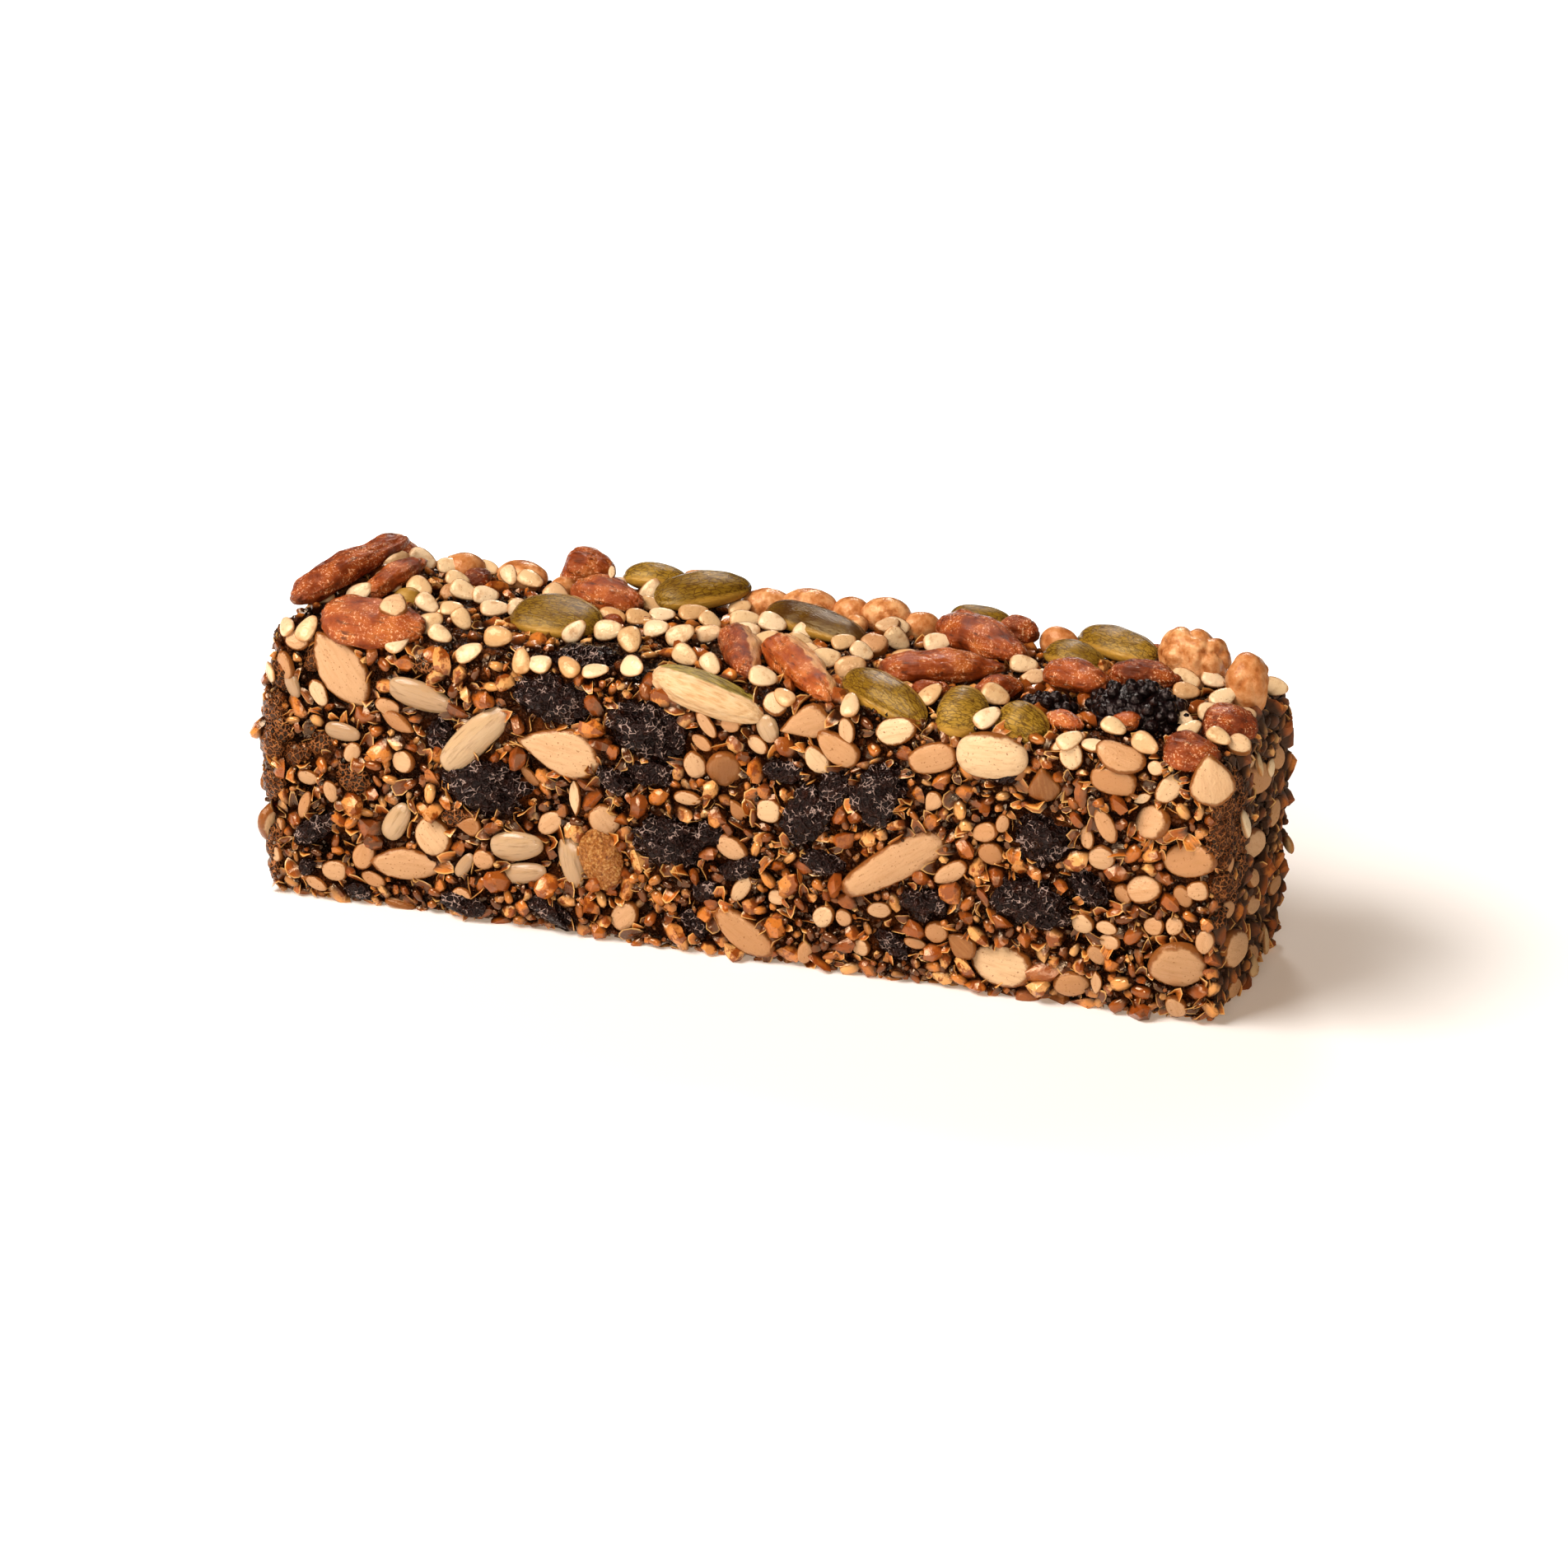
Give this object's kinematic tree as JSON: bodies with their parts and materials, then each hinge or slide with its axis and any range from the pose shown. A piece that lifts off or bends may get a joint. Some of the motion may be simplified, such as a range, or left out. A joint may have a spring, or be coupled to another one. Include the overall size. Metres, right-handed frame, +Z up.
{
  "type": "fruit and nut bar",
  "caption": "Pressed block of seeds, chopped nuts and raisins with whole almonds, pumpkin seeds, sesame, walnut and dried fruit on top, resting on its flat underside.",
  "frame": {"origin": "centre of the flat underside, under the middle of the part's box", "axes": "+X along the bar's length, +Z up, the shown long side faces -Y"},
  "size_m": [0.1179, 0.0361, 0.039],
  "materials": {
    "pressed_mix": "sticky dark brown mix of toasted seeds, chopped nuts and raisins, uneven, satin",
    "almond_skin": "wrinkled red-brown almond skin, glazed",
    "pumpkin_seed": "olive green with fine brown streaks, satin",
    "cut_nut": "pale cream cut nut or hulled seed, dry to satin",
    "dried_fruit": "near-black wrinkled dried fruit, glossy",
    "walnut": "light brown walnut flesh with a thin skin, satin"
  },
  "bodies": {
    "root": {"bar": "pressed_mix", "almond_1": "almond_skin", "almond_2": "almond_skin", "almond_3": "almond_skin", "almond_4": "almond_skin", "almond_5": "almond_skin", "almond_6": "almond_skin", "almond_7": "almond_skin", "almond_8": "almond_skin", "almond_9": "almond_skin", "almond_10": "almond_skin", "almond_11": "almond_skin", "almond_12": "almond_skin", "almond_13": "almond_skin", "almond_14": "almond_skin", "almond_15": "almond_skin", "almond_16": "almond_skin", "almond_17": "almond_skin", "almond_18": "almond_skin", "pumpkin_seed_1": "pumpkin_seed", "pumpkin_seed_2": "pumpkin_seed", "pumpkin_seed_3": "pumpkin_seed", "pumpkin_seed_4": "pumpkin_seed", "pumpkin_seed_5": "pumpkin_seed", "pumpkin_seed_6": "pumpkin_seed", "pumpkin_seed_7": "pumpkin_seed", "pumpkin_seed_8": "pumpkin_seed", "pumpkin_seed_9": "pumpkin_seed", "pumpkin_seed_10": "pumpkin_seed", "pumpkin_seed_11": "pumpkin_seed", "cut_seed_1": "cut_nut", "dried_fruit_1": "dried_fruit", "dried_fruit_2": "dried_fruit", "walnut_1": "walnut", "walnut_2": "walnut"}
  },
  "joints": []
}
